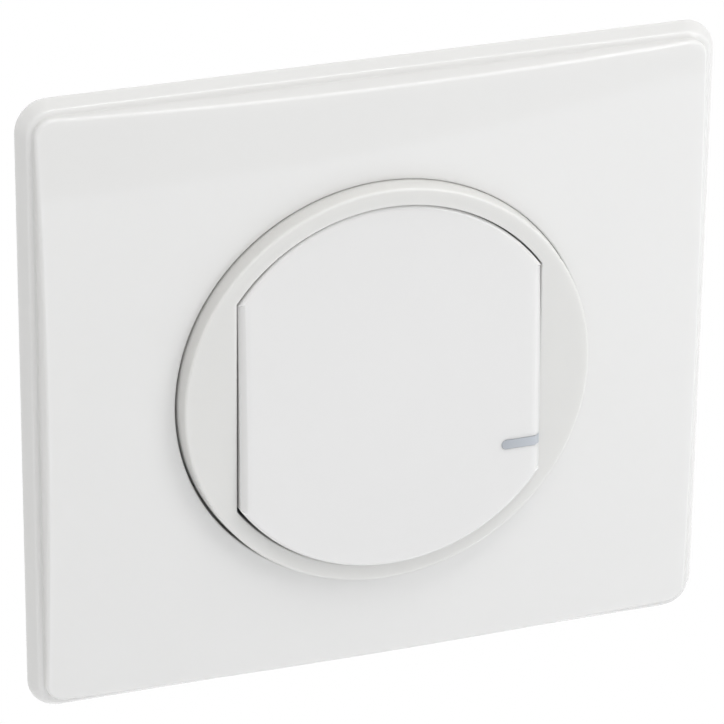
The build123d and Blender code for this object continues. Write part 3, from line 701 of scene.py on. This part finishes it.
def set_at_rest(piece, s):
    """Turns a key's piece to its resting tilt about the pins, and seats it to the right and down in its play.

    With the tilt t and the pivot's level p: u' = u + seat, v' = v cos t + (h - p) sin t - seat_down and
    h' = p - v sin t + (h - p) cos t.
    """
    u, v, h = face_places(piece)
    cosine, sine = math.cos(s.rest_tilt), math.sin(s.rest_tilt)
    above = h - s.pivot_level
    return place_again(piece, u + s.seat, v * cosine + above * sine - s.seat_down,
                       s.pivot_level - v * sine + above * cosine)


def rocker(s):
    """The rocker's form, hollowed one wall in, with pushers, ribs and pins, and the slot for its lens."""
    key = rocker_solid("rocker_moulding", s)
    inner = barrel(s.width - 2 * s.wall, s.radius - s.wall, LEAST_CORNER)
    roof_loops = np.concatenate([between(np.zeros_like(inner), inner, FACE_ROWS), [inner]])
    roof = lift(roof_loops, key_face(s, roof_loops[..., 1], s.wall))
    foot = lift(inner, s.skirt - s.wall)
    combine(key, capped_surface("hollow", np.concatenate([roof, [foot]])), "DIFFERENCE")
    in_wall = s.wall / 2
    rib_top = key_face(s, s.radius - s.wall, in_wall)
    rib_span = 2 * math.sqrt((s.radius - in_wall) ** 2 - s.rib_offset ** 2) - s.wall
    pusher_top = key_face(s, s.pusher_offset, in_wall)
    for side in (-1, 1):
        pusher_end = s.pusher_end + side * s.pusher_offset * math.sin(s.rest_tilt)
        pusher = face_up(0.0, side * s.pusher_offset, np.array([pusher_end, pusher_top]))
        combine(key, rod("pusher", s.pusher_radius, *pusher), "UNION")
        combine(key, bar("rib", s.rib, rib_span, s.rib_level, rib_top, side * s.rib_offset), "UNION")
        pin = face_up(side * (s.width / 2 + np.array([-in_wall, s.gap + s.pin_length])), 0.0, s.pivot_level)
        combine(key, rod("pin", s.pin_radius, *pin), "UNION")
    combine(key, prism("slot", lens_outline(s, 0.0), s.crown - s.lens_depth, 2 * s.crown), "DIFFERENCE")
    return set_at_rest(key, s)


def light_guide_lens(s):
    """What the rocker's form and the slot share, less the fit, with a foot behind the face and a leg."""
    lens = rocker_solid("light_guide_lens_bar", s)
    slot_floor = s.crown - s.lens_depth + s.lens_fit
    combine(lens, prism("slot", lens_outline(s, -s.lens_fit), slot_floor, 2 * s.crown), "INTERSECT")
    roof = key_face(s, s.lens_drop + s.lens_height) - s.wall - s.lens_fit
    foot_level = s.crown - s.wall - s.lens_foot
    foot_length = s.lens_length - s.wall
    foot_height = s.lens_height + 2 * s.lens_foot
    foot_u = s.width / 2 - s.wall - s.lens_foot_gap - foot_length / 2
    combine(lens, bar("foot", foot_length, foot_height, foot_level, roof, foot_u, -s.lens_drop), "UNION")
    leg = face_up(s.width / 2 - s.lens_leg_inset, -s.lens_drop, np.array([foot_level - s.lens_leg, roof]))
    combine(lens, rod("leg", s.lens_leg_radius, *leg), "UNION")
    return set_at_rest(lens, s)


def key_dome(s):
    """Rubber dome: circles of (radius, level) from its top over the flange and up inside."""
    foot, top = -DOME_HIGH.y, -DOME_LOW.y
    flange_top = foot + s.flange_height
    flange_radius = s.radius + s.flange
    hollow = s.radius - s.skin
    profile = np.array([[s.top_radius, top], [s.radius, flange_top], [flange_radius, flange_top],
                        [flange_radius, foot], [hollow, foot], [hollow, flange_top],
                        [s.top_radius - s.skin, top - s.plug]])
    angle = np.linspace(0, 2 * np.pi, DOME_STEPS, endpoint=False)
    middle = (DOME_LOW.z + DOME_HIGH.z) / 2
    radius, level = profile[:, :1], profile[:, 1:]
    rows = face_up(radius * np.cos(angle), radius * np.sin(angle) + middle, level)
    return capped_surface("lower_key_dome_rubber", rows)


# Finishes

def add_node(tree, kind, values, **settings):
    """Adds a shader node with its settings. An input that is given a socket is linked, any other is set."""
    node = tree.nodes.new("ShaderNode" + kind)
    for name, value in settings.items():
        setattr(node, name, value)
    for name, value in values.items():
        if isinstance(value, bpy.types.NodeSocket):
            tree.links.new(value, node.inputs[name])
        else:
            node.inputs[name].default_value = value
    return node


def empty_tree(owner):
    """The node tree of a material or a world, cleared."""
    owner.use_nodes = True
    owner.node_tree.nodes.clear()
    return owner.node_tree


def noise(tree, place, scale, detail=2.0, stretch=None):
    """Noise from 0 to 1 with a number of cells per metre, stretched along the axes if asked."""
    if stretch:
        place = add_node(tree, "Mapping", {"Vector": place, "Scale": stretch}).outputs["Vector"]
    return add_node(tree, "TexNoise", {"Vector": place, "Scale": scale, "Detail": detail}).outputs["Fac"]


def spread(tree, value, low, high, start=0.3, end=0.7):
    """Maps a value to a range."""
    return add_node(tree, "MapRange", {"Value": value, "From Min": start, "From Max": end, "To Min": low,
                                       "To Max": high}).outputs["Result"]


def shade(tint, share):
    """A colour made lighter or darker by a share, with full alpha."""
    return (*(min(part * share, 1.0) for part in tint), 1.0)


def vary(tree, value, tint, low, high):
    """A colour between two shades of a tint, by a value from 0 to 1."""
    return add_node(tree, "Mix", {"Factor": value, "A": shade(tint, low), "B": shade(tint, high)},
                    data_type="RGBA").outputs["Result"]


def bump(tree, height, strength, microns):
    """A normal that follows a height of so many microns."""
    node = add_node(tree, "Bump", {"Height": height, "Strength": strength, "Distance": microns * MICRON})
    return node.outputs["Normal"]


def moulding(tree, place, tint, roughness, grain, microns, milky=0.0):
    """Plastic: clouds in its colour, patches in its gloss and a fine grain; light spreads in a milky one."""
    clouds = noise(tree, place, scale=40.0, detail=1.0)
    patches = noise(tree, place, scale=120.0, detail=1.0)
    inputs = {
        "Base Color": vary(tree, clouds, tint, 0.994, 1.006),
        "Roughness": spread(tree, patches, roughness * 0.94, roughness * 1.06, 0.0, 1.0),
        "Normal": bump(tree, noise(tree, place, scale=grain), strength=0.4, microns=microns),
    }
    if milky:
        inputs |= {"Subsurface Weight": 1.0, "Subsurface Radius": WHITE, "Subsurface Scale": milky}
    return inputs


def metal(tree, place, tint, roughness, stretch, spangle):
    """Metal: drawn lines along one direction, and a spangle of lighter and darker cells."""
    cells = add_node(tree, "TexVoronoi", {"Vector": place, "Scale": spangle}).outputs["Color"]
    lines = noise(tree, place, scale=900.0, detail=3.0, stretch=stretch)
    return {
        "Metallic": 1.0,
        "Base Color": vary(tree, cells, tint, 0.9, 1.08),
        "Roughness": spread(tree, lines, roughness * 0.75, roughness * 1.3),
        "Normal": bump(tree, lines, strength=0.25, microns=20),
    }


def circuit_board(tree, place, mask):
    """Solder mask: lighter tracks from a brick pattern, and the weave of the glass in its gloss."""
    face_on = (math.radians(90), 0.0, 0.0)
    turned = add_node(tree, "Mapping", {"Vector": place, "Rotation": face_on}).outputs["Vector"]
    tracks = add_node(tree, "TexBrick", {
        "Vector": turned, "Color1": shade(mask, 1.0), "Color2": shade(mask, 0.85), "Mortar": shade(mask, 1.7),
        "Scale": 260.0, "Mortar Size": 0.03,
    })
    return {
        "Base Color": tracks.outputs["Color"],
        "Roughness": spread(tree, noise(tree, place, scale=1800.0), 0.25, 0.4),
        "Normal": bump(tree, tracks.outputs["Fac"], strength=0.3, microns=40),
    }


def clear_plastic(tree, place, tint):
    """Clear plastic: light passes through it, with faint clouds."""
    clouds = spread(tree, noise(tree, place, scale=500.0, detail=3.0), 0.0, 1.0)
    return {
        "Base Color": vary(tree, clouds, tint, 0.95, 1.04),
        "Roughness": spread(tree, noise(tree, place, scale=900.0), 0.048, 0.072),
        "Transmission Weight": 0.9,
        "IOR": CLEAR_IOR,
    }


def light_guide(tree, place, tint):
    """Light guide: a blue-grey body, with painted light that makes it paler towards the rocker's flat."""
    s = bpy.context.scene.switch_rocker
    # Painted light: the base colour is painted from 0.95 to 1.22 times the tint along x, palest at the
    # rocker's flat.
    across = add_node(tree, "SeparateXYZ", {"Vector": place}).outputs["X"]
    along = spread(tree, across, 0.0, 1.0, s.width / 2 - s.lens_length, s.width / 2)
    return {
        "Base Color": vary(tree, along, tint, 0.95, 1.22),
        "Roughness": spread(tree, noise(tree, place, scale=900.0), 0.1, 0.16),
        "IOR": CLEAR_IOR,
    }


# Each look: recipe, colour and what the recipe takes. A moulding takes roughness, cells of grain per metre,
# their depth in microns and the spread of light; a metal roughness, stretch of lines and cells per metre.
LOOKS = {
    "plate_white": (moulding, "plate", 0.015, 1400, 0.3, MILKY),
    "ring_white": (moulding, "ring", 0.3, 2600, 3, MILKY),
    "rocker_white": (moulding, "rocker", 0.14, 2200, 2, MILKY),
    "lens_grey": (light_guide, "lens"),
    "pipe_clear": (clear_plastic, "clear"),
    "lamp_white": (moulding, "lamp", 0.3, 3000, 10),
    "frame_steel": (metal, "zinc", 0.34, (1.0, 1.0, 0.06), 220),
    "screw_steel": (metal, "zinc", 0.3, (1.0, 0.1, 1.0), 900),
    "deck_white": (moulding, "deck", 0.5, 3000, 20),
    "housing_grey": (moulding, "housing", 0.48, 2600, 30),
    "key_rubber": (moulding, "rubber", 0.62, 2000, 20),
    "board_green": (circuit_board, "board"),
    "moulded_black": (moulding, "black", 0.45, 3000, 20),
    "button_grey": (moulding, "button", 0.4, 3000, 10),
    "shield_tin": (metal, "tin", 0.25, (0.1, 1.0, 1.0), 500),
    "relay_black": (moulding, "black", 0.4, 2400, 30),
    "capacitor_yellow": (moulding, "yellow", 0.3, 2000, 10),
    "can_aluminium": (metal, "aluminium", 0.3, (1.0, 0.08, 1.0), 700),
    "choke_dark": (moulding, "ferrite", 0.6, 1500, 40),
    "varistor_blue": (moulding, "blue", 0.28, 900, 40),
    "resistor_green": (moulding, "green", 0.4, 1500, 30),
    "terminal_brass": (metal, "brass", 0.28, (1.0, 0.1, 1.0), 600),
}


def finish(name):
    """Makes a material from its row in the table, in the object's own coordinates."""
    recipe, tint, *values = LOOKS[name]
    material = bpy.data.materials.new(name)
    tree = empty_tree(material)
    place = add_node(tree, "TexCoord", {}).outputs["Object"]
    inputs = recipe(tree, place, getattr(bpy.context.scene.switch_finishes, tint), *values)
    shader = add_node(tree, "BsdfPrincipled", inputs)
    add_node(tree, "OutputMaterial", {"Surface": shader.outputs["BSDF"]})
    return material


def dress(look, *names):
    """Gives carried-over nodes a look, and returns its material."""
    material = finish(look)
    for name in names:
        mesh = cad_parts[name].data
        mesh.materials.clear()
        mesh.materials.append(material)
    return material


# Pieces

class SWITCH_OT_cover_plate(bpy.types.Operator):
    """Makes the cover plate"""
    bl_idname = "switch.cover_plate"
    bl_label = "Cover plate"

    def execute(self, context):
        plate = cover_plate(context.scene.switch_plate)
        settle(plate, finish("plate_white"), "base", "plate_white", "cover_plate")
        return {"FINISHED"}


class SWITCH_OT_cover_ring(bpy.types.Operator):
    """Makes the cover ring"""
    bl_idname = "switch.cover_ring"
    bl_label = "Cover ring"

    def execute(self, context):
        ring = cover_ring(context.scene.switch_ring, context.scene.switch_rocker)
        settle(ring, finish("ring_white"), "base", "ring_white", "cover_ring")
        return {"FINISHED"}


class SWITCH_OT_rocker(bpy.types.Operator):
    """Makes the rocker"""
    bl_idname = "switch.rocker"
    bl_label = "Rocker"

    def execute(self, context):
        key = rocker(context.scene.switch_rocker)
        settle(key, finish("rocker_white"), "key", "rocker_white", "rocker")
        return {"FINISHED"}


class SWITCH_OT_light_guide(bpy.types.Operator):
    """Makes the lens and finishes the light pipe and its lamp"""
    bl_idname = "switch.light_guide"
    bl_label = "Light guide"

    def execute(self, context):
        lens = light_guide_lens(context.scene.switch_rocker)
        settle(lens, finish("lens_grey"), "key", "lens_grey", "light_guide_lens")
        dress("pipe_clear", "light_pipe")
        dress("lamp_white", "status_led")
        return {"FINISHED"}


class SWITCH_OT_mounting(bpy.types.Operator):
    """Finishes the frame, the deck, its screws and the housing"""
    bl_idname = "switch.mounting"
    bl_label = "Mounting and housing"

    def execute(self, context):
        dress("frame_steel", "support_frame")
        dress("screw_steel", "deck_screws", "terminal_screws")
        dress("deck_white", "mechanism_deck")
        dress("housing_grey", "mechanism_housing")
        return {"FINISHED"}


class SWITCH_OT_key_domes(bpy.types.Operator):
    """Makes the lower rubber dome and finishes the upper one"""
    bl_idname = "switch.key_domes"
    bl_label = "Key domes"

    def execute(self, context):
        sizes = context.scene.switch_dome
        rubber = dress("key_rubber", "upper_key_dome")
        dome = key_dome(sizes)
        settle(dome, rubber, "base", "key_rubber", "lower_key_dome")
        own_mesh(dome)
        return {"FINISHED"}


class SWITCH_OT_electronics(bpy.types.Operator):
    """Finishes the boards and what is on them"""
    bl_idname = "switch.electronics"
    bl_label = "Electronics"

    def execute(self, context):
        dress("board_green", "control_board", "power_board", "radio_module")
        dress("moulded_black", "board_header", "reset_switch", "bridge_rectifier")
        dress("button_grey", "reset_button")
        dress("shield_tin", "radio_shield")
        dress("relay_black", "load_relay")
        dress("capacitor_yellow", "filter_capacitor")
        dress("can_aluminium", "smoothing_capacitor")
        dress("choke_dark", "choke_coil")
        dress("varistor_blue", "varistor")
        dress("resistor_green", "fuse_resistor")
        return {"FINISHED"}


class SWITCH_OT_terminals(bpy.types.Operator):
    """Finishes the wire clamps"""
    bl_idname = "switch.terminals"
    bl_label = "Wire terminals"

    def execute(self, context):
        dress("terminal_brass", "terminal_blocks")
        return {"FINISHED"}


# Stage

def white_to_the_eye(tree, lit):
    """Mixes a lit shader with plain white for what is seen directly, in gloss or through clear plastic."""
    rays = add_node(tree, "LightPath", {}).outputs
    seen = add_node(tree, "Math", {0: rays["Is Camera Ray"], 1: rays["Is Glossy Ray"]}, operation="MAXIMUM")
    seen = add_node(tree, "Math", {0: seen.outputs[0], 1: rays["Is Transmission Ray"]}, operation="MAXIMUM")
    kind = "Background" if lit.type == "BACKGROUND" else "Emission"
    white = add_node(tree, kind, {"Color": (*WHITE, 1.0), "Strength": 1.0})
    mix = add_node(tree, "MixShader", {0: seen.outputs[0], 1: lit.outputs[0], 2: white.outputs[0]})
    return mix.outputs[0]


def make_floor(s):
    """Square floor below the plate, a grid of two parameters at one level."""
    corners = FLOOR_CELLS + 1
    span = np.linspace(-0.5, 0.5, corners) * s.floor_size
    x, y = np.meshgrid(span, span)
    points = np.stack([x, y, np.full_like(x, PLATE_LOW.z - s.floor_drop)], axis=-1)
    first = np.arange(FLOOR_CELLS)[:, None] * corners + np.arange(FLOOR_CELLS)
    faces = np.stack([first, first + 1, first + corners + 1, first + corners], axis=-1).reshape(-1, 4)
    floor = mesh_object("floor", points, faces.tolist())
    material = bpy.data.materials.new("floor_pale")
    tree = empty_tree(material)
    lit = add_node(tree, "BsdfDiffuse", {"Color": (*s.floor, 1.0)})
    add_node(tree, "OutputMaterial", {"Surface": white_to_the_eye(tree, lit)})
    floor.data.materials.append(material)


def make_world(s):
    """Soft light from all round, white to the camera."""
    world = bpy.data.worlds.new("studio")
    tree = empty_tree(world)
    lit = add_node(tree, "Background", {"Strength": s.fill})
    add_node(tree, "OutputWorld", {"Surface": white_to_the_eye(tree, lit)})
    bpy.context.scene.world = world


def make_lamp(name, watts, place, sheet, aim=(0.0, 0.0, 0.0), tint=WHITE):
    """Rectangular lamp at a place, turned towards the origin or another point."""
    data = bpy.data.lights.new(name, "AREA")
    data.shape = "RECTANGLE"
    data.size, data.size_y = sheet
    data.energy = watts
    data.color = tint
    lamp = bpy.data.objects.new(name, data)
    lamp.location = place
    lamp.rotation_euler = (Vector(aim) - Vector(place)).to_track_quat("-Z", "Y").to_euler()
    bpy.context.scene.collection.objects.link(lamp)


def make_camera(s):
    """Camera at the photograph's view: it looks to the right and down, turned a little about its axis."""
    a, e = s.azimuth, s.elevation
    ahead = Vector((math.sin(a) * math.cos(e), math.cos(a) * math.cos(e), -math.sin(e)))
    level = Vector((math.cos(a), -math.sin(a), 0.0))
    upright = level.cross(ahead)
    right = level * math.cos(s.roll) + upright * math.sin(s.roll)
    up = upright * math.cos(s.roll) - level * math.sin(s.roll)
    place = -s.distance * ahead - s.shift_right * right - s.shift_up * up
    data = bpy.data.cameras.new("camera")
    data.sensor_width = SENSOR_WIDTH
    data.lens = s.lens
    data.clip_start = NEAREST_SEEN
    camera = bpy.data.objects.new("camera", data)
    turn = Matrix((right, up, -ahead)).transposed()
    camera.matrix_world = Matrix.Translation(place) @ turn.to_4x4()
    bpy.context.scene.collection.objects.link(camera)
    bpy.context.scene.camera = camera


class SWITCH_OT_stage(bpy.types.Operator):
    """Makes the floor, the light and the camera"""
    bl_idname = "switch.stage"
    bl_label = "Stage"

    def execute(self, context):
        s = context.scene.switch_stage
        context.scene.view_settings.view_transform = "Standard"
        make_camera(s)
        make_floor(s)
        make_world(s)
        for name, (place, sheet) in LAMPS.items():
            make_lamp(name + "_lamp", getattr(s, name + "_power"), place, sheet)
        straight_up = (*LOW_LAMP[:2], 0.0)
        make_lamp("low_lamp", s.low_power, LOW_LAMP, LOW_SHEET, straight_up, s.cool)
        return {"FINISHED"}


OPERATORS = (SWITCH_OT_stage, SWITCH_OT_cover_plate, SWITCH_OT_cover_ring, SWITCH_OT_rocker,
             SWITCH_OT_light_guide, SWITCH_OT_mounting, SWITCH_OT_key_domes, SWITCH_OT_electronics,
             SWITCH_OT_terminals)

GROUPS = {"switch_plate": PlateSizes, "switch_ring": RingSizes, "switch_rocker": RockerSizes,
          "switch_dome": DomeSizes, "switch_finishes": Finishes, "switch_stage": StageSettings}


class SWITCH_PT_sidebar(bpy.types.Panel):
    """Lists the steps that dress the switch, and their settings"""
    bl_idname = "SWITCH_PT_sidebar"
    bl_label = "Light switch"
    bl_space_type = "VIEW_3D"
    bl_region_type = "UI"
    bl_category = "Switch"

    def draw(self, context):
        for operator in OPERATORS:
            self.layout.operator(operator.bl_idname)
        for name, group in GROUPS.items():
            box = self.layout.box()
            box.label(text=group.__doc__)
            for setting in group.__annotations__:
                box.prop(getattr(context.scene, name), setting)


def register():
    """Registers the settings, the operators and the panel."""
    for name, group in GROUPS.items():
        bpy.utils.register_class(group)
        setattr(bpy.types.Scene, name, PointerProperty(type=group))
    for made in (*OPERATORS, SWITCH_PT_sidebar):
        bpy.utils.register_class(made)


def unregister():
    """Takes them out again."""
    for made in (SWITCH_PT_sidebar, *OPERATORS):
        bpy.utils.unregister_class(made)
    for name, group in GROUPS.items():
        delattr(bpy.types.Scene, name)
        bpy.utils.unregister_class(group)


def main():
    """Registers the add-on and makes every piece in order."""
    register()
    for operator in OPERATORS:
        family, name = operator.bl_idname.split(".")
        getattr(getattr(bpy.ops, family), name)()


if __name__ == "__main__":
    main()
